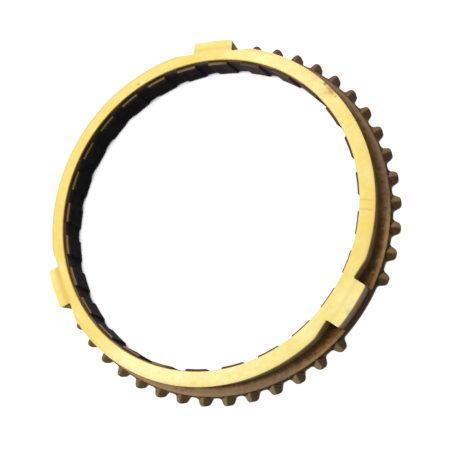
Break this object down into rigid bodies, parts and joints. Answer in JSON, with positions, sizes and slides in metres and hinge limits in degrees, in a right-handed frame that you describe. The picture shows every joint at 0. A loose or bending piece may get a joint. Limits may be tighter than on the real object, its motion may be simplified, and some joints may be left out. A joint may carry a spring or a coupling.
{
  "type": "synchronizer ring",
  "caption": "Brass synchronizer ring with square lugs and milled flats on its neck, roofed dog teeth round its flange and a black grooved friction lining in its tapered bore.",
  "frame": {"origin": "on the ring's axis, in the plane of the gear-side face that it rests on", "axes": "+Z along the axis, out of the face with the lugs; +Y through the middle of one lug; +X to the right seen from above"},
  "size_m": [0.0882, 0.0875, 0.0098],
  "materials": {
    "machined_brass": "bright turned face, dull brown forged and milled sides",
    "black_friction_lining": "matt black moulded friction lining"
  },
  "bodies": {
    "root": {"ring_body": "machined_brass", "friction_lining": "black_friction_lining"}
  },
  "joints": []
}
